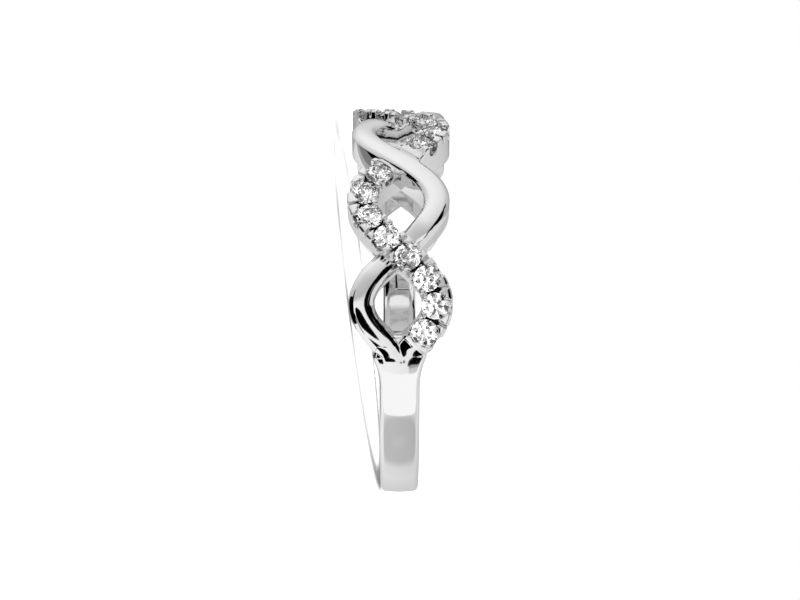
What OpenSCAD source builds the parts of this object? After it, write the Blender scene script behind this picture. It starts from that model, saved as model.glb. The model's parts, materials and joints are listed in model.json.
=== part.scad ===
// Woven half-eternity ring: a plain shank whose upper half is two strands that cross like a chain
// of infinity signs. One strand is plain and the other carries a row of round brilliants.
// Millimetres. The origin is the centre of the finger hole. The ring lies on its side, as it
// settles on a table: on one lobe of each strand and on the bottom edge of the shank.

/* [Finger hole and shank] */
// Diameter of the finger hole (17.3 is a US size 7)
hole_d = 17.3; // [14.5:0.1:21]
// Width of the shank, along the finger
shank_w = 1.97; // [1.6:0.01:2.4]
// Thickness of the shank
shank_t = 1.4; // [1.1:0.01:1.8]
// Height of the dome on the shank's outer face
shank_dome = 0.09; // [0.02:0.01:0.2]
// Depth by which the shank's outer edges are softened
shank_edge = 0.2; // [0.1:0.01:0.35]
// Bevel along the finger hole's edges, which makes the ring comfortable
comfort = 0.14; // [0.05:0.01:0.25]
// Angle over which the shank flares out to the strands
flare_angle = 10; // [6:0.1:14]
// Distance by which each side of the shank flares out
flare_out = 0.34; // [0.25:0.01:0.45]

/* [Woven head] */
// Angle of the finger that the woven head covers
head_span = 180; // [168:1:192]
// Thickness of the head at the strands' edges
head_t = 1.51; // [1.3:0.01:1.8]
// Sideways swing of each strand's centre line
wave_amp = 1.8; // [1.6:0.01:2]
// Width of the plain strand
plain_w = 1.24; // [1.05:0.01:1.45]
// Height of the dome on the plain strand
plain_dome = 0.1; // [0.04:0.01:0.2]
// Depth by which the plain strand's edges are softened
plain_edge = 0.16; // [0.05:0.01:0.25]
// Depth by which the plain strand ducks under the set one
plain_duck = 0.42; // [0.3:0.01:0.55]
// Depth by which the set strand ducks under the plain one
set_duck = 0.25; // [0.1:0.01:0.4]

/* [Stones and setting] */
// Gap between neighbouring girdles, along the strand. The stones take up the rest of each run.
stone_gap = 0.106; // [0.08:0.002:0.2]
// Width of the metal beside each stone
side_wall = 0.1; // [0.06:0.01:0.16]
// Distance by which the stones sit in from the strand's centre line at each lobe
row_inset = 0.1; // [0:0.01:0.14]
// Height of the stones' girdles below the strands' edges
girdle_drop = 0.03; // [0:0.01:0.1]
// Height of the prongs above the strands' edges
prong_rise = 0.29; // [0.2:0.01:0.4]
// Bevel on the prongs' outer edges
prong_edge = 0.18; // [0.05:0.01:0.25]
// Distance by which the outer runs of stones sit nearer the top of the head than their crossings
run_shift = 0.14; // [0:0.01:0.2]
// Width of the scallop that bares each stone in the strand's sides
scallop_w = 0.62; // [0.4:0.01:0.75]
// Depth of that scallop below the girdle
scallop_depth = 0.38; // [0.25:0.01:0.5]
// Width of the slot that parts the prongs of two stones
slot_w = 0.09; // [0.06:0.01:0.12]
// Depth of that slot below the girdle
slot_depth = 0.3; // [0.1:0.01:0.45]
// Wall left past the last seat of each run
end_wall = 0.08; // [0.05:0.01:0.15]
// Gap between each run's end and the plain strand's edge
run_clear = 0.09; // [0.05:0.01:0.15]
// Gap between a stone and its seat
seat_gap = 0.02; // [0.01:0.005:0.04]

/* [Hidden] */
// Three runs of stones, each over one whole wave
waves = 3;
stone_count = 24;
half_run = stone_count / (2 * waves);
pitch = head_span / (2 * waves);
hole_r = hole_d / 2;
head_r = hole_r + head_t;
shank_r = hole_r + shank_t;
girdle_r = head_r - girdle_drop;
prong_r = head_r + prong_rise;
// The forms are swept from inside the finger hole, which then trims them. Each reaches in by its
// own depth, so that no two of their inner faces coincide.
plain_deep = 0.2;
set_deep = 0.3;
shoulder_deep = 0.4;
shank_deep = 0.5;
// Depths by which the strands' ends dive into the shoulders, and the shoulders' into the shank
plain_dive = 0.35;
set_dive = 0.04;
tuck = 0.04;
// Length along the strands' top edges for one degree round the finger
deg_len = head_r * PI / 180;

// A round brilliant, as shares of its diameter
table_share = 0.57;
crown_share = 0.15;
girdle_share = 0.04;
pavilion_share = 0.43;
// Where the star and lower half facets end, as shares of the radius
star_share = 0.8;
half_share = 0.35;
cut = 8;

// A strand's centre line, side 1 for the set strand and -1 for the plain one. t is the angle
// round the finger from the top of the head, and z lies along the finger.
function wave_z(t, amp, side) = side * amp * sin(180 * t / pitch);
function wave_slope(t, amp, side) = side * amp * PI / pitch * cos(180 * t / pitch) / deg_len;
// Its direction at t, as a step round the finger and a step along it
function heading(t, amp, side) = let (m = wave_slope(t, amp, side)) [1, m] / norm([1, m]);
// Angle and z of a point that lies u beside the centre line
function beside(t, amp, side, u) =
    let (d = heading(t, amp, side)) [t - u * d[1] / deg_len, wave_z(t, amp, side) + u * d[0]];
function at_angle(a, z, r) = [-r * sin(a), r * cos(a), z];

// Lower corner of a bar of width w that reaches in by deep past the finger hole's edge. Its bevel
// runs straight on.
function foot(w, deep) = [w / 2 - comfort - deep, hole_r - deep];
// Outline of a domed bar, as points [across, radius]. Its top is drawn in n steps and softened
// towards both edges.
function bar_outline(w, edge_r, dome, edge, n, deep) = let (f = foot(w, deep)) [
    [-f[0], f[1]],
    [-w / 2, hole_r + comfort],
    for (i = [0:n]) let (x = -cos(180 * i / n))
        [x * w / 2, edge_r + dome * (1 - x * x) - edge * pow(x, 8)],
    [w / 2, hole_r + comfort],
    f
];
// The set strand's outline has a flat top for the prongs
function rail_outline(w, top_r, edge, deep) = let (f = foot(w, deep)) [
    [-f[0], f[1]],
    [-w / 2, hole_r + comfort],
    [-w / 2, top_r - edge],
    [edge - w / 2, top_r],
    [w / 2 - edge, top_r],
    [w / 2, top_r - edge],
    [w / 2, hole_r + comfort],
    f
];

// Skins a row of sections that all have the same number of points
module skin(sections) {
    n = len(sections[0]);
    last = len(sections) - 1;
    points = [for (s = sections) each s];
    sides = [
        for (i = [0:last - 1], j = [0:n - 1])
            let (a = i * n + j, b = i * n + (j + 1) % n)
            each [[a, b, b + n], [a, b + n, a + n]]
    ];
    start = [for (j = [n - 1:-1:0]) j];
    end = [for (j = [0:n - 1]) last * n + j];
    polyhedron(points, concat(sides, [start, end]), convexity = 6);
}

// Arc length along the row of stones, tabled from one crossing to the next
row_amp = wave_amp - row_inset;
arc_step = pitch / 60;
arc_table = [
    for (t = 0, s = 0; t <= pitch + arc_step / 2;
        s = s + arc_step * deg_len * norm([1, wave_slope(t + arc_step / 2, row_amp, 1)]),
        t = t + arc_step)
        [s, t]
];
half_wave = arc_table[len(arc_table) - 1][0];
function row_angle(s) = sign(s) * lookup(abs(s), arc_table);

// Each run is centred on a crossing where the set strand passes over, and stops short of the
// crossings where it ducks under. The outer runs sit a little nearer the top of the head.
run_end = half_wave - plain_w / 2 - run_shift - run_clear;
stone_pitch = (run_end - end_wall) / half_run;
stone_d = stone_pitch - stone_gap;
stone_r = stone_d / 2;
set_w = stone_d + 2 * side_wall;
run_mid = [for (k = [0:waves - 1]) (2 * k - waves + 1) * pitch];
function run_angle(mid, s) = mid + row_angle(s - sign(mid) * run_shift);
stone_at = [
    for (mid = run_mid, k = [0:2 * half_run - 1]) run_angle(mid, (k + 0.5 - half_run) * stone_pitch)
];
slot_at = [
    for (mid = run_mid, k = [1:2 * half_run - 1]) run_angle(mid, (k - half_run) * stone_pitch)
];

// The strands stop once they have merged. The shoulders start just before, flare in from there
// and end inside the shank.
strand_end = head_span / 2 + 1;
flare_start = head_span / 2 - 0.5;
shoulder_start = flare_start - 1.5;
shoulder_end = head_span / 2 + flare_angle;
shank_start = (flare_start + shoulder_end) / 2;

// Share of the duck at t, from 1 where the other strand's centre line crosses to 0 away from it
duck_reach = 0.27 * pitch;
function duck_share(t) =
    let (a = abs(t - 2 * pitch * round(t / (2 * pitch))))
    a > duck_reach ? 0 : (1 + cos(180 * a / duck_reach)) / 2;

function strand_section(t, side, amp, outline) = [
    for (p = outline) let (q = beside(t, amp, side, p[0])) at_angle(q[0], q[1], p[1])
];

// The plain strand's ends dive into the shoulders
module plain_strand() {
    steps = 90;
    dive_reach = 5;
    skin([
        for (i = [0:steps])
            let (
                t = strand_end * (2 * i / steps - 1),
                past = max(abs(t) - strand_end + dive_reach, 0) / dive_reach,
                top = head_r - plain_duck * duck_share(t) - plain_dive * past * past
            )
            strand_section(t, -1, wave_amp, bar_outline(plain_w, top, plain_dome, plain_edge, 8, plain_deep))
    ]);
}

// Each run stands up as a rail that slopes down past its last prongs. Between the runs the strand
// ducks, and its ends dive into the shoulders.
module set_strand() {
    steps = 30;
    low_r = head_r - set_duck;
    low_edge = prong_edge / 2;
    step_down = 0.3;
    slope = 0.25 * stone_pitch;
    dive_reach = 4;
    stations = [
        [-strand_end, low_r],
        [dive_reach - strand_end, head_r - set_dive],
        for (mid = run_mid) each [
            if (mid > run_mid[0]) [run_angle(mid, -run_end) - step_down, low_r],
            [run_angle(mid, -run_end), head_r],
            for (i = [0:steps]) [run_angle(mid, (run_end - slope) * (2 * i / steps - 1)), prong_r],
            [run_angle(mid, run_end), head_r],
            if (mid < run_mid[waves - 1]) [run_angle(mid, run_end) + step_down, low_r]
        ],
        [strand_end - dive_reach, head_r - set_dive],
        [strand_end, low_r]
    ];
    skin([
        for (s = stations)
            let (edge = s[1] > head_r ? prong_edge : low_edge)
            strand_section(s[0], 1, wave_amp, rail_outline(set_w, s[1], edge, set_deep))
    ]);
}

// The shank flares out from its own width to take in the strands' merged ends. The tuck brings
// the shoulder's far end inside the shank.
module shoulder() {
    steps = 12;
    skin([
        for (i = [0:steps])
            let (
                a = shoulder_start + (shoulder_end - shoulder_start) * i / steps,
                left = min((shoulder_end - a) / (shoulder_end - flare_start), 1),
                w = shank_w + 2 * flare_out * pow(left, 2.5) - 2 * tuck * (1 - left),
                top = shank_r + (head_r - shank_r) * left - tuck * (1 - left)
            )
            [
                for (p = bar_outline(w, top, shank_dome, shank_edge, 8, shoulder_deep))
                    at_angle(a, p[0], p[1])
            ]
    ]);
}

shank_outline = bar_outline(shank_w, shank_r, shank_dome, shank_edge, 8, shank_deep);
module shank() {
    rotate([0, 0, 90 + shank_start])
        rotate_extrude(angle = 360 - 2 * shank_start, $fn = 180)
            polygon([for (p = shank_outline) [p[1], p[0]]]);
}

// Places its children on the row at angle t, with z out of the ring and x along the strand
module on_row(t) {
    rotate([0, 0, t])
        translate([0, girdle_r, wave_z(t, row_amp, 1)])
            rotate([-90, 0, 0])
                rotate([0, 0, atan(wave_slope(t, row_amp, 1))])
                    children();
}

// Height above the girdles that the cuts for the stones reach, well clear of the prongs
cut_top = 2 * (prong_r - girdle_r);

// Room for one stone: a straight wall from the girdle up, and a cone for the pavilion
module seat() {
    wall_r = stone_r + seat_gap;
    girdle_half = girdle_share * stone_d / 2;
    depth = pavilion_share * stone_d + seat_gap;
    translate([0, 0, -girdle_half - seat_gap])
        cylinder(h = cut_top, r = wall_r, $fn = 2 * cut);
    translate([0, 0, -girdle_half - seat_gap - depth])
        cylinder(h = depth, r1 = seat_gap, r2 = wall_r, $fn = 2 * cut);
}

// U-shaped cut across the strand, open at the top
module scallop() {
    r = scallop_w / 2;
    translate([0, 0, r - scallop_depth])
        rotate([90, 0, 0])
            cylinder(h = 1.1 * (set_w + 2 * row_inset), r = r, center = true, $fn = 12);
    translate([-r, -set_w, r - scallop_depth])
        cube([scallop_w, 2 * set_w, cut_top + scallop_depth]);
}

// Cut that parts the prongs of two stones. Its middle is twice as wide, which takes off the thin
// tips that the two seats would leave there.
module slot() {
    half = slot_w / 2;
    waist = 0.4 * stone_r;
    translate([0, 0, -slot_depth])
        linear_extrude(slot_depth + cut_top)
            polygon([
                for (side = [1, -1]) each [
                    side * [half, -set_w],
                    side * [half, -waist],
                    side * [slot_w, 0],
                    side * [half, waist],
                    side * [half, set_w]
                ]
            ]);
}

module cut_strand() {
    difference() {
        set_strand();
        for (t = stone_at) on_row(t) scallop();
        for (t = slot_at) on_row(t) slot();
    }
}

// A round brilliant with its girdle plane at z 0: table, stars, kites and upper halves above,
// lower halves and mains below
module brilliant() {
    sides = 2 * cut;
    turn = 360 / sides;
    table_r = table_share * stone_r;
    star_r = star_share * stone_r;
    half_r = half_share * stone_r;
    girdle_top = girdle_share * stone_d / 2;
    crown_h = crown_share * stone_d;
    pavilion_h = pavilion_share * stone_d;
    // Kites and mains are flat, so their side corners lie in the plane of their ends
    star_z = girdle_top + crown_h * (stone_r - star_r * cos(turn)) / (stone_r - table_r);
    half_z = -girdle_top - pavilion_h * (stone_r - half_r * cos(turn)) / stone_r;
    function ring_at(r, z, n, from) = [for (i = [0:n - 1]) let (a = from + i * 360 / n) [r * cos(a), r * sin(a), z]];
    points = concat(
        ring_at(table_r, girdle_top + crown_h, cut, 0),
        ring_at(star_r, star_z, cut, turn),
        ring_at(stone_r, girdle_top, sides, 0),
        ring_at(stone_r, -girdle_top, sides, 0),
        ring_at(half_r, half_z, cut, turn),
        [[0, 0, -girdle_top - pavilion_h]]
    );
    star = cut;
    upper = star + cut;
    lower = upper + sides;
    half = lower + sides;
    culet = half + cut;
    facets = [
        [for (i = [cut - 1:-1:0]) i],
        for (i = [0:cut - 1])
            let (j = (i + 1) % cut, h = (i + cut - 1) % cut, g = 2 * i, g1 = (g + 1) % sides, g0 = (g + sides - 1) % sides)
            each [
                [i, j, star + i],
                [i, star + i, upper + g, star + h],
                [star + i, upper + g1, upper + g],
                [star + i, upper + 2 * j, upper + g1],
                [upper + g, upper + g1, lower + g1, lower + g],
                [upper + g1, upper + 2 * j, lower + 2 * j, lower + g1],
                [lower + g, lower + g1, half + i],
                [lower + g1, lower + 2 * j, half + i],
                [lower + g, half + i, culet, half + h]
            ]
    ];
    polyhedron(points, facets, convexity = 2);
}

// How far the last lobe of a strand of width w reaches below the middle, and how far the bottom
// of the shank does, when the ring is tipped by an angle
lobe_steps = 60;
function lobe_depth(tip, w) = max([
    for (i = [0:lobe_steps])
        let (q = beside((waves - 1 + i / lobe_steps) * pitch, wave_amp, 1, w / 2))
        abs(q[1]) * cos(tip) - (hole_r + comfort) * cos(q[0]) * sin(tip)
]);
function shank_depth(tip) = max([
    for (p = shank_outline) p[0] * cos(tip) + p[1] * sin(tip)
]);
// The tip at which both touch the table, found by halving
function settle(low, high, n) =
    let (tip = (low + high) / 2, lobe = (lobe_depth(tip, plain_w) + lobe_depth(tip, set_w)) / 2)
    n == 0 ? tip : lobe > shank_depth(tip) ? settle(tip, high, n - 1) : settle(low, tip, n - 1);
rest_tip = settle(0, 20, 30);
rest_roll = -atan((lobe_depth(rest_tip, set_w) - lobe_depth(rest_tip, plain_w)) / (2 * hole_r * sin(2.5 * pitch)));

module resting() {
    rotate([rest_tip, rest_roll, 0]) children();
}

function stone_name(i) = str("stone_", i < 10 ? "0" : "", i);

module band() {
    color("gainsboro")
        resting()
            difference() {
                union() {
                    shank();
                    shoulder();
                    mirror([1, 0, 0]) shoulder();
                    plain_strand();
                    cut_strand();
                }
                for (t = stone_at) on_row(t) seat();
                cylinder(h = 4 * (wave_amp + set_w), r = hole_r, center = true, $fn = 180);
            }
}

module stone(i) {
    color("aliceblue")
        resting()
            on_row(stone_at[i - 1])
                brilliant();
}

band();
for (i = [1:len(stone_at)]) stone(i);
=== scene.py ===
import json
import math

import bmesh
import bpy
from mathutils import Matrix, Vector


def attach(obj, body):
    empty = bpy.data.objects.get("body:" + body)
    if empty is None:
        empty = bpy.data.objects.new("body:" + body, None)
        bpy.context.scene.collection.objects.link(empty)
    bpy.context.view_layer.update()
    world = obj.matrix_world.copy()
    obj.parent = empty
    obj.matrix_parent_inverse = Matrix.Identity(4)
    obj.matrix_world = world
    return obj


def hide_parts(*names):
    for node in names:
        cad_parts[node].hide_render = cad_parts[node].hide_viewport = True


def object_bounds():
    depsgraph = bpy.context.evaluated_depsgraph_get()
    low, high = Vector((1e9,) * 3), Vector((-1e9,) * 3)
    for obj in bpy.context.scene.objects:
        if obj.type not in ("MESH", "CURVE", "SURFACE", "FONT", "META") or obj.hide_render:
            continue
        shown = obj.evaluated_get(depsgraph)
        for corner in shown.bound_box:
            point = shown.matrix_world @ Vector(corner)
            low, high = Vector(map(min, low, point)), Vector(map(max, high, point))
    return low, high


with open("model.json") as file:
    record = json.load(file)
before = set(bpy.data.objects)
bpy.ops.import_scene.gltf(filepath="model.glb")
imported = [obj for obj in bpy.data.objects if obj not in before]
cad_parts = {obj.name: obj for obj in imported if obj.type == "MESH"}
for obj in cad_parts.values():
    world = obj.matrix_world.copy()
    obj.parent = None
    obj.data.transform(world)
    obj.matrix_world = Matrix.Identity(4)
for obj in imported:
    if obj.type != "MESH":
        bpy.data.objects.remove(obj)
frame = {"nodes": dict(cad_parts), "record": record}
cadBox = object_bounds()
print("scene: frame loaded")

# The ring is made in its own frame, in millimetres and degrees. Y points from the finger's centre to the top of
# the woven head, Z lies along the finger, and angles t run round the finger from Y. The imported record's finger
# hole says how the ring leans where it lies.
millimetre = 0.001
holeAxis = Vector(frame["record"]["mounts"][0]["axis"])
restTurn = (Matrix.Rotation(math.atan2(holeAxis.x, holeAxis.z), 4, "Y")
            @ Matrix.Rotation(math.asin(-holeAxis.y), 4, "X"))
toRow = Matrix.Scale(millimetre, 4) @ restTurn

head = {
    "holeRadius": 8.65,
    "thickness": 1.51,
    "span": 180.0,
    "waves": 3,
    "swing": 1.8,  # of each strand's centre line, to either side
    "boreRound": 0.16,  # comfort rounding at the finger hole
    "bendFrom": 86.0,  # from here each strand swings round into the shank
    "bendTo": 98.0,
    "endOffset": 0.25,  # of its centre line from the middle, once it has
    "slopeStep": 0.01,
}
headRadius = head["holeRadius"] + head["thickness"]
pitch = head["span"] / (2 * head["waves"])
degreeLength = headRadius * math.pi / 180


def waveZ(t, amplitude, side):
    bend, settle = head["bendFrom"], head["bendTo"]
    if abs(t) <= bend:
        return side * amplitude * math.sin(math.radians(180 * t / pitch))
    s = min((abs(t) - bend) / (settle - bend), 1)
    start = amplitude * math.sin(math.radians(180 * bend / pitch))
    lean = amplitude * math.pi / pitch * math.cos(math.radians(180 * bend / pitch)) * (settle - bend)
    z = (start * (2 * s ** 3 - 3 * s ** 2 + 1) + lean * (s ** 3 - 2 * s ** 2 + s)
         + head["endOffset"] * (3 * s ** 2 - 2 * s ** 3))
    return side * math.copysign(z, t)


def waveSlope(t, amplitude, side):
    if abs(t) > head["bendFrom"]:
        step = head["slopeStep"]
        return (waveZ(t + step, amplitude, side) - waveZ(t - step, amplitude, side)) / (2 * step * degreeLength)
    return side * amplitude * math.pi / pitch * math.cos(math.radians(180 * t / pitch)) / degreeLength


def beside(t, amplitude, side, across):  # angle and z of a point that lies across from the strand's centre line
    slope = waveSlope(t, amplitude, side)
    size = math.hypot(1, slope)
    return t - across * slope / size / degreeLength, waveZ(t, amplitude, side) + across / size


def atAngle(angle, z, radius):
    a = math.radians(angle)
    return Vector((-radius * math.sin(a), radius * math.cos(a), z))


def smoothStep(x):
    x = min(max(x, 0.0), 1.0)
    return x * x * (3 - 2 * x)


def soft(v, power):
    return math.copysign(abs(v) ** power, v)


# Mesh helpers

outlineSteps = {"top": 10, "low": 6, "arc": 7}


def roundedOutline(width, low, high, lowRound, edge, dome):  # a section, as points across and out from the finger
    half = width / 2
    across, down, flat = edge  # the upper edges are softened bevels, wider than deep
    arc = outlineSteps["arc"]
    points = []
    for k, (u, r, start) in enumerate([(half, low, -90), (half, high, 0), (-half, high, 90), (-half, low, 180)]):
        su, sr, power = (across, down, flat) if k in (1, 2) else (lowRound, lowRound, 1.0)
        cu, cr = u - math.copysign(su, u), r + (sr if r == low else -sr)
        for i in range(arc + 1):
            a = math.radians(start + 90 * i / arc)
            points.append((cu + su * soft(math.cos(a), power), cr + sr * soft(math.sin(a), power)))
        if k in (1, 3):
            steps = outlineSteps["top" if k == 1 else "low"]
            u1, u2 = (half - across, across - half) if k == 1 else (lowRound - half, half - lowRound)
            for i in range(1, steps):
                points.append((u1 + (u2 - u1) * i / steps, r))
    return [(u, r + dome * (1 - (u / half) ** 2) if r > high - down - 1e-6 else r) for u, r in points]


def sweep(bm, sections):  # extrudes the first section's loop from one section to the next
    ring = [bm.verts.new(p) for p in sections[0]]
    edges = [bm.edges.new((ring[i - 1], ring[i])) for i in range(len(ring))]
    bm.faces.new(ring)
    for section in sections[1:]:
        order = {v: i for i, v in enumerate(ring)}
        made = bmesh.ops.extrude_edge_only(bm, edges=edges)["geom"]
        known = {}
        for v in made:
            if isinstance(v, bmesh.types.BMVert):
                for e in v.link_edges:
                    other = e.other_vert(v)
                    if other in order:
                        known[order[other]] = v
        ring = [known[i] for i in range(len(section))]
        for v, p in zip(ring, section):
            v.co = p
        edges = [bm.edges.get((ring[i - 1], ring[i])) for i in range(len(ring))]
    bm.faces.new(ring)


def finishMesh(bm, name, smooth=True):
    bmesh.ops.recalc_face_normals(bm, faces=bm.faces)
    mesh = bpy.data.meshes.new(name)
    bm.to_mesh(mesh)
    bm.free()
    for p in mesh.polygons:
        p.use_smooth = smooth
    piece = bpy.data.objects.new(name, mesh)
    bpy.context.scene.collection.objects.link(piece)
    return piece


def bakeModifiers(piece):
    bpy.context.view_layer.update()
    live = piece.evaluated_get(bpy.context.evaluated_depsgraph_get())
    mesh = bpy.data.meshes.new_from_object(live)
    piece.modifiers.clear()
    piece.data = mesh


def cutWith(piece, cutter, operation="DIFFERENCE"):
    m = piece.modifiers.new("cut", "BOOLEAN")
    m.operation, m.object, m.solver = operation, cutter, "MANIFOLD"
    bakeModifiers(piece)
    bpy.data.objects.remove(cutter)


def strandSection(t, side, outline):
    points = []
    for u, r in outline:
        a, z = beside(t, head["swing"], side, u)
        points.append(atAngle(a, z, r))
    return points


# Plain strand

plainStrand = {
    "width": 1.24,
    "dome": 0.1,
    "edge": (0.25, 0.16, 1.5),  # across, down and flatness of the upper edges
    "duck": 0.42,  # under the set strand
    "duckReach": 8.1,  # degrees to either side of a crossing
    "lastDuck": 85.0,  # no ducking past this angle
    "end": 100.0,
    "dive": 0.4,  # into the shank, at its end
    "diveReach": 10.5,
    "steps": 280,
}


def duckShare(t):
    a = abs(t - 2 * pitch * round(t / (2 * pitch)))
    if a > plainStrand["duckReach"] or abs(t) >= plainStrand["lastDuck"]:
        return 0.0
    return (1 + math.cos(math.pi * a / plainStrand["duckReach"])) / 2


def plainTop(t):
    past = max(abs(t) - plainStrand["end"] + plainStrand["diveReach"], 0) / plainStrand["diveReach"]
    return headRadius - plainStrand["duck"] * duckShare(t) - plainStrand["dive"] * smoothStep(past)


def makePlainStrand():
    bm = bmesh.new()
    sections = []
    for i in range(plainStrand["steps"] + 1):
        t = plainStrand["end"] * (2 * i / plainStrand["steps"] - 1)
        outline = roundedOutline(plainStrand["width"], head["holeRadius"], plainTop(t), head["boreRound"],
                                 plainStrand["edge"], plainStrand["dome"])
        sections.append(strandSection(t, -1, outline))
    sweep(bm, sections)
    return finishMesh(bm, "plainStrand")


# Shank and shoulders

shank = {
    "width": 1.97,
    "thickness": 1.4,
    "dome": 0.09,
    "edge": (0.24, 0.24, 1.0),
    "flareAngle": 10.0,
    "flareOut": 0.34,
    "flarePower": 2.5,
    "flareStart": 89.5,
    "start": 83.7,
    "sunk": 0.22,  # depth at its start, from where its face comes up between the strands
    "narrowed": 0.5,  # width off it there
    "emerge": 6.5,  # degrees over which it comes up
    "boreLift": 0.003,  # keeps its inner face off the plain strand's
    "step": 0.7,
}


def shankSize(near):  # width and top, by the angle from the head's middle
    shankRadius = head["holeRadius"] + shank["thickness"]
    end = head["span"] / 2 + shank["flareAngle"]
    left = min(max((end - near) / (end - shank["flareStart"]), 0), 1)
    sunk = 1 - smoothStep((near - shank["start"]) / shank["emerge"])
    width = shank["width"] + 2 * shank["flareOut"] * left ** shank["flarePower"] - shank["narrowed"] * sunk
    return width, shankRadius + (headRadius - shankRadius) * smoothStep(left) - shank["sunk"] * sunk


def makeShank():
    bm = bmesh.new()
    sections = []
    low = head["holeRadius"] + shank["boreLift"]
    count = round((360 - 2 * shank["start"]) / shank["step"])
    for i in range(count + 1):
        a = shank["start"] + (360 - 2 * shank["start"]) * i / count
        width, top = shankSize(min(a, 360 - a))
        outline = roundedOutline(width, low, top, head["boreRound"], shank["edge"], shank["dome"])
        sections.append([atAngle(a, z, r) for z, r in outline])
    sweep(bm, sections)
    return finishMesh(bm, "shank")


# Set strand

stones = {
    "halfRun": 4,
    "gap": 0.106,
    "rowInset": 0.1,  # the row swings less than the strands do
    "girdleDrop": 0.03,
    "runShift": 0.14,  # of the outer runs, towards the head's middle
    "runClear": 0.09,
    "girdle": 0.04,  # share of the diameter
    "pavilion": 0.43,
    "tableSteps": 60,
}
setStrand = {
    "sideWall": 0.1,
    "endWall": 0.08,
    "prongRise": 0.29,
    "edge": (0.17, 0.17, 1.0),
    "duck": 0.25,  # under the plain strand
    "endDrop": 0.4,
    "shoulder": (86, 90),  # between these angles its top is level
    "shoulderDrop": 0.04,
    "runIn": (1.2, 0.2),  # degrees before a run, where it starts to rise and where it is up to the head's radius
    "crest": 0.25,  # stone pitches from a run's end to its full height
    "domeFrom": 81.0,
    "domeReach": 4.0,
    "runOverlap": 0.4,  # degrees past the crossings between two runs
    "boreLift": 0.006,  # keeps its inner face off the plain strand's
    "steps": 130,
    "voxel": 0.04,
    "smoothPasses": 2,
    "smoothFactor": 0.5,
}
cuts = {
    "seatGap": 0.02,
    "coneTip": 0.03,
    "coneOverlap": 0.002,
    "scallopWidth": 0.62,
    "scallopDepth": 0.36,
    "slotWidth": 0.13,
    "slotDepth": 0.42,
    "slotLength": 0.7,
    "slotEnd": 0.13,  # radius of the round hole at each end of a slot's deep part
    "notchDepth": 0.1,  # of the slot's shallow part, which parts the prongs
    "tall": 1.0,
    "apart": 0.01,  # keeps the faces of one cut off those of the next
    "seatSegments": 48,
    "scallopSegments": 32,
    "slotSegments": 24,
}
beads = {"radius": 0.145, "along": 0.46, "across": 0.5, "height": 0.17, "segments": (16, 10)}
# Where the slots get matt metal and painted shade: the shade is a darker colour, not cast by the light
recessMattAndShade = {
    "from": 0.5,  # above the finger hole
    "below": 0.02,  # the girdle
    "depthFade": 0.12,
    "reach": 0.24,  # along the strand, from a slot's middle
    "past": 0.1,  # the slot's ends
    "fade": 0.06,
}
rowSwing = head["swing"] - stones["rowInset"]
girdleRadius = headRadius - stones["girdleDrop"]


def rowTable():  # length along the row and angle, step by step
    step = pitch / stones["tableSteps"]
    table, s, t = [(0.0, 0.0)], 0.0, 0.0
    while t < pitch - step / 2:
        s += step * degreeLength * math.hypot(1, waveSlope(t + step / 2, rowSwing, 1))
        t += step
        table.append((s, t))
    return table


arcTable = rowTable()


def rowAngle(s):
    size = abs(s)
    for (s0, t0), (s1, t1) in zip(arcTable, arcTable[1:]):
        if size <= s1:
            return math.copysign(t0 + (t1 - t0) * (size - s0) / (s1 - s0), s)
    return math.copysign(arcTable[-1][1], s)


runMids = [(2 * k - head["waves"] + 1) * pitch for k in range(head["waves"])]
halfRun = stones["halfRun"]
runEnd = arcTable[-1][0] - plainStrand["width"] / 2 - stones["runShift"] - stones["runClear"]
stonePitch = (runEnd - setStrand["endWall"]) / halfRun
stoneDiameter = stonePitch - stones["gap"]
setWidth = stoneDiameter + 2 * setStrand["sideWall"]


def runAngle(mid, s):
    inwards = 0 if mid == 0 else math.copysign(stones["runShift"], mid)
    return mid + rowAngle(s - inwards)


# The angles of each run's stones and of the slots between them
stonesOf = [[runAngle(mid, (k + 0.5 - halfRun) * stonePitch) for k in range(2 * halfRun)] for mid in runMids]
slotsOf = [[runAngle(mid, (k - halfRun) * stonePitch) for k in range(1, 2 * halfRun)] for mid in runMids]


def onRow(t):  # z out of the ring and x along the strand, from the girdle's middle
    return (Matrix.Rotation(math.radians(t), 4, "Z")
            @ Matrix.Translation((0, girdleRadius, waveZ(t, rowSwing, 1)))
            @ Matrix.Rotation(math.radians(-90), 4, "X")
            @ Matrix.Rotation(math.atan(waveSlope(t, rowSwing, 1)), 4, "Z"))


def railKnots():  # angles, and the set strand's height at each
    low = headRadius - setStrand["duck"]
    high = headRadius + setStrand["prongRise"]
    first, last = plainStrand["end"], headRadius - setStrand["endDrop"]
    level = headRadius - setStrand["shoulderDrop"]
    inner, outer = setStrand["shoulder"]
    rise, up = setStrand["runIn"]
    crest = setStrand["crest"] * stonePitch
    knots = [(-first, last), (-outer, level), (-inner, level)]
    for mid in runMids:
        if mid > runMids[0]:
            knots.append((runAngle(mid, -runEnd) - rise, low))
        knots.append((runAngle(mid, -runEnd) - up, headRadius))
        knots.append((runAngle(mid, crest - runEnd), high))
        knots.append((runAngle(mid, runEnd - crest), high))
        knots.append((runAngle(mid, runEnd) + up, headRadius))
        if mid < runMids[-1]:
            knots.append((runAngle(mid, runEnd) + rise, low))
    return knots + [(inner, level), (outer, level), (first, last)]


railHeights = railKnots()


def railTop(t):
    for (t0, r0), (t1, r1) in zip(railHeights, railHeights[1:]):
        if t0 <= t <= t1:
            return r0 + (r1 - r0) * smoothStep((t - t0) / (t1 - t0))
    return railHeights[-1][1]


def railDome(t):  # the set strand is flat under its stones and domed at both ends of the head
    return plainStrand["dome"] * smoothStep((abs(t) - setStrand["domeFrom"]) / setStrand["domeReach"])


def runSpan(k):
    end, reach = plainStrand["end"], pitch + setStrand["runOverlap"]
    return (-end if k == 0 else runMids[k] - reach), (end if k == head["waves"] - 1 else runMids[k] + reach)


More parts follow.
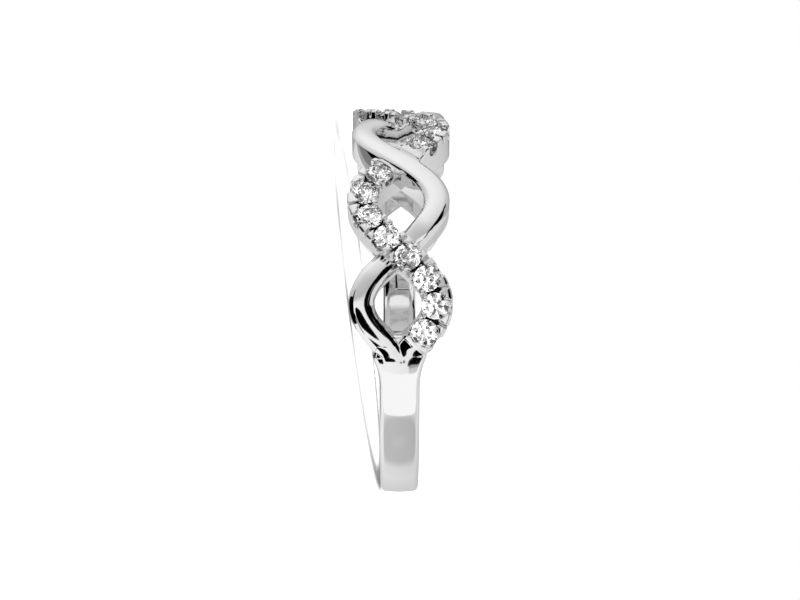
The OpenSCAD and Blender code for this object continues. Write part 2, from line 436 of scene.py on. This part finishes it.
def makeRail(k):
    bm = bmesh.new()
    start, stop = runSpan(k)
    low = head["holeRadius"] + setStrand["boreLift"]
    sections = []
    for i in range(setStrand["steps"] + 1):
        t = start + (stop - start) * i / setStrand["steps"]
        outline = roundedOutline(setWidth, low, railTop(t), head["boreRound"], setStrand["edge"], railDome(t))
        sections.append(strandSection(t, 1, outline))
    sweep(bm, sections)
    return finishMesh(bm, "setRun%d" % (k + 1))


def makeCutters(k):
    radius = stoneDiameter / 2 + cuts["seatGap"]
    low = -stones["girdle"] * stoneDiameter / 2 - cuts["seatGap"]
    coneDepth = stones["pavilion"] * stoneDiameter + cuts["seatGap"]
    wide = 2 * setWidth
    tall = cuts["tall"]
    scallop = cuts["scallopWidth"] / 2
    scallopAt = scallop - cuts["scallopDepth"]
    turned = Matrix.Rotation(math.radians(90), 4, "X")
    names = ("seats", "cones", "scallops", "boxes", "notches", "slots", "slotEnds")
    groups = {name: bmesh.new() for name in names}

    def cone(name, spot, segments, r1, r2, depth):
        bmesh.ops.create_cone(groups[name], cap_ends=True, segments=segments, radius1=r1, radius2=r2, depth=depth,
                              matrix=spot)

    def box(name, spot, size):
        bmesh.ops.create_cube(groups[name], size=1.0, matrix=spot @ Matrix.Diagonal((*size, 1)))

    def up(z):
        return Matrix.Translation((0, 0, z))

    for t in stonesOf[k]:
        here = onRow(t)
        cone("seats", here @ up(low + tall / 2), cuts["seatSegments"], radius, radius, tall)
        cone("cones", here @ up(low - coneDepth / 2 + cuts["coneOverlap"]), cuts["seatSegments"], cuts["coneTip"],
             radius, coneDepth)
        cone("scallops", here @ up(scallopAt) @ turned, cuts["scallopSegments"], scallop, scallop, wide)
        box("boxes", here @ up(scallopAt + tall / 2), (cuts["scallopWidth"], wide - cuts["apart"], tall))
    for t in slotsOf[k]:
        box("notches", onRow(t) @ up(tall / 2 - cuts["notchDepth"]), (cuts["slotWidth"], wide, tall))
        here = onRow(t) @ up(tall / 2 - cuts["slotDepth"])
        box("slots", here, (cuts["slotWidth"] - cuts["apart"], cuts["slotLength"], tall))
        for side in (-1, 1):
            end = Matrix.Translation((0, side * (cuts["slotLength"] / 2 - cuts["slotEnd"]), 0))
            cone("slotEnds", here @ end, cuts["slotSegments"], cuts["slotEnd"], cuts["slotEnd"], tall)
    return [finishMesh(bm, name) for name, bm in groups.items()]


def makeBeads(k):  # the prongs' round tips, which lean over the stones' edges
    bm = bmesh.new()
    around, along = beads["segments"]
    for t in stonesOf[k]:
        for a in (-1, 1):
            for b in (-1, 1):
                spot = Matrix.Translation((a * beads["along"], b * beads["across"], beads["height"]))
                bmesh.ops.create_uvsphere(bm, u_segments=around, v_segments=along, radius=beads["radius"],
                                          matrix=onRow(t) @ spot)
    return finishMesh(bm, "beads")


def markMattAndShadedRecess(piece, slots):  # 1 deep in the slots between the stones, where the metal is matt and painted shade darkens it, 0 on the polished metal
    mark = piece.data.attributes.new("recess", "FLOAT", "POINT")
    for v, value in zip(piece.data.vertices, mark.data):
        x, y, z = v.co
        radius, t = math.hypot(x, y), math.degrees(math.atan2(-x, y))
        if radius > head["holeRadius"] + recessMattAndShade["from"]:
            size = math.hypot(1, waveSlope(t, rowSwing, 1))
            along = min(abs(t - s) for s in slots) * degreeLength * size
            across = abs(z - waveZ(t, rowSwing, 1)) / size
            deep = smoothStep((girdleRadius - recessMattAndShade["below"] - radius) / recessMattAndShade["depthFade"])
            near = smoothStep((recessMattAndShade["reach"] - along) / recessMattAndShade["fade"])
            within = smoothStep((cuts["slotLength"] / 2 + recessMattAndShade["past"] - across) / recessMattAndShade["fade"])
            value.value = deep * near * within


def makeRun(k):
    rail = makeRail(k)
    for cutter in makeCutters(k):
        cutWith(rail, cutter)
    cutWith(rail, makeBeads(k), "UNION")
    m = rail.modifiers.new("soften", "REMESH")
    m.mode, m.voxel_size, m.adaptivity = "VOXEL", setStrand["voxel"], 0.0
    bakeModifiers(rail)
    bm = bmesh.new()
    bm.from_mesh(rail.data)
    for i in range(setStrand["smoothPasses"]):
        bmesh.ops.smooth_vert(bm, verts=bm.verts, factor=setStrand["smoothFactor"], use_axis_x=True,
                              use_axis_y=True, use_axis_z=True)
    bm.to_mesh(rail.data)
    bm.free()
    for p in rail.data.polygons:
        p.use_smooth = True
    markMattAndShadedRecess(rail, slotsOf[k])
    return rail


# The solder that blends both strands into the shank

blend = {
    "from": 85.0,
    "to": 100.0,
    "half": (0.93, 1.2),  # half width at its start and from the next angle on
    "wideFrom": 88.0,
    "sideGap": 0.09,  # at least, to the shank's sides
    "fillet": 0.02,
    "lift": (-0.012, 0.004),  # above the pieces that it joins, at both ends and between the fades
    "fade": 2.0,
    "cover": 0.015,  # past the strands' edges, between the fades
    "depth": 0.5,
    "outerFall": 4.0,  # slope past an edge
    "footSteps": 5,
    "rows": 74,
    "halfColumns": 40,
}


def edgeDrop(u, half, edge):
    across, down, flat = edge
    v = (abs(u) - half + across) / across
    if v <= 0:
        return 0.0
    if v >= 1:
        return down + blend["outerFall"] * (abs(u) - half)
    return down * (1 - (1 - v ** (2 / flat)) ** (flat / 2))


def strandHeight(t, z, side, width, topAt, edge, dome, cover):
    foot = t  # on the centre line, right across from the point
    for i in range(blend["footSteps"]):
        slope, away = waveSlope(foot, head["swing"], side), z - waveZ(foot, head["swing"], side)
        foot -= (foot - t - away * slope / degreeLength) / (1 + slope ** 2)
    u = math.copysign(math.hypot((t - foot) * degreeLength, away), away)
    return topAt(foot) + dome * (1 - (2 * u / width) ** 2) - edgeDrop(u, width / 2 + cover, edge)


def blendHeight(t, z, cover):  # a smooth maximum of the strands and the shank
    width, top = shankSize(abs(t))
    strand = plainStrand
    heights = [strandHeight(t, z, -1, strand["width"], plainTop, strand["edge"], strand["dome"], cover),
               strandHeight(t, z, 1, setWidth, railTop, setStrand["edge"], railDome(t), cover),
               top + shank["dome"] * (1 - (2 * z / width) ** 2) - edgeDrop(z, width / 2, shank["edge"])]
    high = max(heights)
    return high + blend["fillet"] * math.log(sum(math.exp((h - high) / blend["fillet"]) for h in heights))


def makeBlend(k):
    bm = bmesh.new()
    sections = []
    start, stop, columns = blend["from"], blend["to"], blend["halfColumns"]
    for i in range(blend["rows"] + 1):
        a = start + (stop - start) * i / blend["rows"]
        t = (-1, 1)[k] * a
        share = min((a - start) / (blend["wideFrom"] - start), 1)
        half = blend["half"][0] + (blend["half"][1] - blend["half"][0]) * share
        half = min(half, shankSize(a)[0] / 2 - blend["sideGap"])
        faded = smoothStep(min(a - start, stop - a) / blend["fade"])
        lift, cover = blend["lift"][0] + (blend["lift"][1] - blend["lift"][0]) * faded, blend["cover"] * faded
        section = [(half * (j / columns - 1), blendHeight(t, half * (j / columns - 1), cover) + lift)
                   for j in range(2 * columns + 1)]
        section += [(half, section[-1][1] - blend["depth"]), (-half, section[0][1] - blend["depth"])]
        sections.append([atAngle(t, z, r) for z, r in section])
    sweep(bm, sections)
    return finishMesh(bm, "shoulderBlend%d" % (k + 1))


def place(piece):  # into the row frame, in metres
    piece.data.transform(toRow)
    piece.data.update()
    return piece


# Materials

def linear(hexColour):
    def one(v):
        return v / 12.92 if v <= 0.04045 else ((v + 0.055) / 1.055) ** 2.4
    return tuple(one(int(hexColour[i:i + 2], 16) / 255) for i in (1, 3, 5)) + (1.0,)


def addNode(material, kind, settings=None, links=None):
    node = material.node_tree.nodes.new(kind)
    for key, value in (settings or {}).items():
        if key in node.inputs:
            node.inputs[key].default_value = value
        else:
            setattr(node, key, value)
    for key, source in (links or {}).items():
        material.node_tree.links.new(source, node.inputs[key])
    return node


def startMaterial(name):
    material = bpy.data.materials.new(name)
    material.use_nodes = True
    material.node_tree.nodes.clear()
    return material


# Cast in one piece and buffed on felt wheels with rouge. The eye gets an even mirror, clouded a little where the
# wheel went over it less, and matt metal in the slots between the stones, where no wheel reaches. The slots' metal
# colour is painted dark there as the shade that falls deep between the stones.
whiteGoldLook = {
    "polishCloud": 1.1,  # millimetres
    "cloudDetail": 3.0,
    "polished": 0.035,  # roughness, and the next two
    "clouded": 0.075,
    "recess": 0.4,
    "tone": "#F0F0F0",
    # painted shade: the metal's colour deep in the slots, darkened to stand in for the shade there
    "recessPaintedShade": "#3C3C3C",
}


def makeWhiteGold():
    look = whiteGoldLook
    m = startMaterial("polishedWhiteGold")
    coords = addNode(m, "ShaderNodeTexCoord")
    cloud = addNode(m, "ShaderNodeTexNoise",
                    {"Scale": 1 / (look["polishCloud"] * millimetre), "Detail": look["cloudDetail"]},
                    {"Vector": coords.outputs["Object"]})
    polish = addNode(m, "ShaderNodeMapRange", {"To Min": look["polished"], "To Max": look["clouded"]},
                     {"Value": cloud.outputs["Fac"]})
    recess = addNode(m, "ShaderNodeAttribute", {"attribute_name": "recess"})
    rough = addNode(m, "ShaderNodeMapRange", {"To Max": look["recess"]},
                    {"Value": recess.outputs["Fac"], "To Min": polish.outputs["Result"]})
    # the metal's own tone, blended into painted shade deep in the slots
    tone = addNode(m, "ShaderNodeValToRGB", None, {"Fac": recess.outputs["Fac"]})
    tone.color_ramp.elements[0].color = linear(look["tone"])
    tone.color_ramp.elements[1].color = linear(look["recessPaintedShade"])
    shader = addNode(m, "ShaderNodeBsdfPrincipled", {"Metallic": 1.0},
                     {"Base Color": tone.outputs["Color"], "Roughness": rough.outputs["Result"]})
    addNode(m, "ShaderNodeOutputMaterial", None, {"Surface": shader.outputs["BSDF"]})
    return m


# Sawn, cut and polished on an iron wheel with diamond dust. The eye gets flat, colourless facets with sharp edges,
# and bright and dark flashes of the room from inside the stone.
diamondLook = {"tint": "#FFFFFF", "roughness": 0.0, "refraction": 2.417}


def makeDiamond():
    m = startMaterial("diamond")
    shader = addNode(m, "ShaderNodeBsdfPrincipled",
                     {"Base Color": linear(diamondLook["tint"]), "Roughness": diamondLook["roughness"],
                      "IOR": diamondLook["refraction"], "Transmission Weight": 1.0})
    addNode(m, "ShaderNodeOutputMaterial", None, {"Surface": shader.outputs["BSDF"]})
    return m


# Build

plain = place(makePlainStrand())
print("scene: plain strand made", len(plain.data.polygons))
shankPiece = place(makeShank())
print("scene: shank made", len(shankPiece.data.polygons))
runs = [place(makeRun(k)) for k in range(head["waves"])]
print("scene: set strand made", [len(piece.data.polygons) for piece in runs])
blends = [place(makeBlend(k)) for k in range(2)]
print("scene: shoulders blended", [len(piece.data.polygons) for piece in blends])
whiteGold = makeWhiteGold()
diamond = makeDiamond()
for piece in (plain, shankPiece, *runs, *blends):
    piece.data.materials.clear()
    piece.data.materials.append(whiteGold)
    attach(piece, "root")
    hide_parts("band")
for name, node in frame["nodes"].items():
    if name.startswith("stone_"):
        node.data.materials.clear()
        node.data.materials.append(diamond)

# Camera, floor and light

view = {
    "focal": 1485.0,  # pixels, as are the next four
    "width": 800,
    "height": 600,
    "centreX": 399.5,  # where the finger hole's centre is in the picture
    "centreY": 303.2,
    "distance": 80.4,
    "elevation": 15.25,
    "sensor": 36.0,
    "clip": (0.001, 10.0),
}


def photoAxes():  # the photograph's right, up and towards the camera, in the row frame
    e = math.radians(view["elevation"])
    turn = restTurn.to_3x3()
    axes = (Vector((0, 0, 1)), Vector((math.sin(e), math.cos(e), 0)), Vector((-math.cos(e), math.sin(e), 0)))
    return [turn @ a for a in axes]


def makeCamera():
    right, up, back = photoAxes()
    data = bpy.data.cameras.new("photoCamera")
    camera = bpy.data.objects.new("photoCamera", data)
    bpy.context.scene.collection.objects.link(camera)
    turn = Matrix([right, up, back]).transposed().to_4x4()
    camera.matrix_world = Matrix.Translation(back * view["distance"] * millimetre) @ turn
    data.sensor_width = view["sensor"]
    data.lens = view["focal"] / view["width"] * data.sensor_width
    data.shift_x = (view["width"] / 2 - view["centreX"]) / view["width"]
    data.shift_y = (view["centreY"] - view["height"] / 2) / view["width"]
    data.clip_start, data.clip_end = view["clip"]
    bpy.context.scene.camera = camera


studio = {
    "cardDistance": 0.5,  # metres, as is the next
    "floorHalf": 3.0,
    "floorTone": "#F7F7F7",
    "cardSegments": 64,
    "seenLight": 1.0,  # radiance of the tent as the camera sees it
    "diffuseLight": 1.8,  # and as the matte floor does
    "behindLight": 0.68,  # least share of the tent's light that the metal mirrors from behind the ring
    "behindReach": (-0.95, -0.3),
    "rightLight": 0.8,  # and from the ring's right
    "rightReach": (-0.5, 0.1),
    "sunStrength": 0.5,
    "sunSize": 50,
    "sunLean": (20, 15),
}
# What the metal mirrors of the tent: elevation in the photograph, and radiance
tentStops = ((-90, 0.6), (-84, 0.56), (-72, 0.56), (-64, 0.84), (-50, 0.98), (-8, 0.98), (1, 0.95), (5, 0.52),
             (15, 0.57), (30, 0.72), (42, 0.85), (52, 0.92), (62, 0.97), (90, 0.99))
# Each card: azimuth and elevation of its middle as seen from the ring, width and height in degrees, spin,
# roundness (1 is an ellipse) and radiance. Azimuth 0 points at the camera and runs to the photograph's right,
# elevation to its top.
cards = {
    "blackFlagRight": (25, 16.5, 52, 14, 50, 0.35, 0.0),
    "blackFlagRightMiddle": (48, 15, 48, 30, 10, 0.4, 0.0),
    "blackFlagRightLow": (33, -2, 26, 13, 0, 0.5, 0.0),
    "blackFlagFarRight": (61, 29, 36, 10, 4, 0.35, 0.0),
    "blackFlagLeft": (-79, -9, 48, 42, 0, 0.4, 0.0),
    "blackFlagLeftFront": (-54, 0, 24, 42, 0, 0.5, 0.0),
    "greyFlagLeft": (-109, -12, 14, 40, 0, 0.4, 0.22),
    "paleFlagLeft": (-119, -12, 8, 40, 0, 0.4, 0.42),
    "blackFlagLeftLow": (-37, -23, 17, 22, 0, 0.6, 0.0),
    "blackCameraHood": (-12, -13.5, 26, 19, -12, 0.8, 0.0),
    "blackFlagRightFoot": (24.5, -14, 12, 20, 0, 0.6, 0.0),
    "blackTableEdgeLeft": (-9.5, -36.5, 20, 13, 0, 0.5, 0.0),
    "blackTableEdgeRight": (13.8, -34, 11, 24, 0, 0.4, 0.0),
    "greyTableEdgeRight": (15.5, -46, 8, 4.5, 0, 0.6, 0.35),
    "paleTableEdgeRight": (16, -48, 7, 6, 0, 0.6, 0.65),
    "whiteTableCard": (0, -60, 70, 18, 0, 0.35, 1.06),
}


def towards(azimuth, elevation):
    right, up, back = photoAxes()
    a, e = math.radians(azimuth), math.radians(elevation)
    return right * math.sin(a) * math.cos(e) + up * math.sin(e) + back * math.cos(a) * math.cos(e)


def glowing(name, radiance):
    m = startMaterial(name)
    shader = addNode(m, "ShaderNodeEmission", {"Color": (1, 1, 1, 1), "Strength": radiance})
    addNode(m, "ShaderNodeOutputMaterial", None, {"Surface": shader.outputs["Emission"]})
    return m


def addCard(name, azimuth, elevation, width, height, spin, roundness, radiance):
    out = towards(azimuth, elevation)
    up = towards(azimuth, elevation + 90)
    side = up.cross(out)
    distance = studio["cardDistance"]
    half = [distance * math.tan(math.radians(size / 2)) for size in (width, height)]
    stand = Matrix.Translation(out * distance) @ Matrix((side, up, out)).transposed().to_4x4()
    bm = bmesh.new()
    bmesh.ops.create_circle(bm, cap_ends=True, segments=studio["cardSegments"], radius=1.0)
    for v in bm.verts:  # the circle becomes a card with rounded corners
        v.co.x, v.co.y = half[0] * soft(v.co.x, roundness), half[1] * soft(v.co.y, roundness)
    bmesh.ops.transform(bm, matrix=stand @ Matrix.Rotation(math.radians(spin), 4, "Z"), verts=bm.verts)
    card = finishMesh(bm, name, False)
    card.data.materials.append(glowing(name + "Paper", radiance))
    card.visible_camera = card.visible_diffuse = card.visible_shadow = False


# A table under rolled-on matt paint. The eye gets one plain white with no gloss, and only soft shadow on it.
def makeFloor():
    bm = bmesh.new()
    bmesh.ops.create_grid(bm, x_segments=2, y_segments=2, size=studio["floorHalf"],
                          matrix=Matrix.Translation((0, 0, cadBox[0].z)))
    floor = finishMesh(bm, "studioFloor")
    m = startMaterial("matteWhiteFloor")
    shader = addNode(m, "ShaderNodeBsdfDiffuse", {"Color": linear(studio["floorTone"])})
    addNode(m, "ShaderNodeOutputMaterial", None, {"Surface": shader.outputs["BSDF"]})
    floor.data.materials.append(m)
    floor.visible_glossy = False  # the metal mirrors the tent and its cards on this side too


def makeTent():  # white round the camera's view, and shaded by height in what the ring mirrors
    world = bpy.data.worlds.new("studioTent")
    bpy.context.scene.world = world
    world.use_nodes = True
    world.node_tree.nodes.clear()
    sky = addNode(world, "ShaderNodeTexCoord").outputs["Generated"]
    right, up, back = photoAxes()

    def shareAlong(axis, low, high, least=0.0):
        along = addNode(world, "ShaderNodeVectorMath", {"operation": "DOT_PRODUCT"}, {0: sky})
        along.inputs[1].default_value = axis
        share = addNode(world, "ShaderNodeMapRange", {"From Min": low, "From Max": high, "To Min": least},
                        {"Value": along.outputs["Value"]})
        return share.outputs["Result"]

    ramp = addNode(world, "ShaderNodeValToRGB", None, {"Fac": shareAlong(up, -1.0, 1.0)})
    bar = ramp.color_ramp.elements
    while len(bar) < len(tentStops):
        bar.new(0.5)
    for element, (elevation, value) in zip(bar, tentStops):
        element.position = (math.sin(math.radians(elevation)) + 1) / 2
        element.color = (value, value, value, 1)
    strength = addNode(world, "ShaderNodeMath", {"operation": "MULTIPLY"},
                       {0: shareAlong(back, *studio["behindReach"], studio["behindLight"]),
                        1: shareAlong(-right, *studio["rightReach"], studio["rightLight"])})
    mirrored = addNode(world, "ShaderNodeBackground", None,
                       {"Color": ramp.outputs["Color"], "Strength": strength.outputs["Value"]})
    lit, seen = [addNode(world, "ShaderNodeBackground", {"Strength": studio[key], "Color": (1, 1, 1, 1)})
                 for key in ("diffuseLight", "seenLight")]
    path = addNode(world, "ShaderNodeLightPath")
    first = addNode(world, "ShaderNodeMixShader", None,
                    {0: path.outputs["Is Diffuse Ray"], 1: mirrored.outputs[0], 2: lit.outputs[0]})
    second = addNode(world, "ShaderNodeMixShader", None,
                     {0: path.outputs["Is Camera Ray"], 1: first.outputs[0], 2: seen.outputs[0]})
    addNode(world, "ShaderNodeOutputWorld", None, {"Surface": second.outputs[0]})


def addSun():
    data = bpy.data.lights.new("softSun", "SUN")
    data.energy = studio["sunStrength"]
    data.angle = math.radians(studio["sunSize"])
    lamp = bpy.data.objects.new("softSun", data)
    lamp.rotation_euler = (*[math.radians(lean) for lean in studio["sunLean"]], 0)
    lamp.visible_glossy = False
    bpy.context.scene.collection.objects.link(lamp)


makeCamera()
makeFloor()
for name, card in cards.items():
    addCard(name, *card)
makeTent()
addSun()
bpy.context.scene.view_settings.view_transform = "Standard"
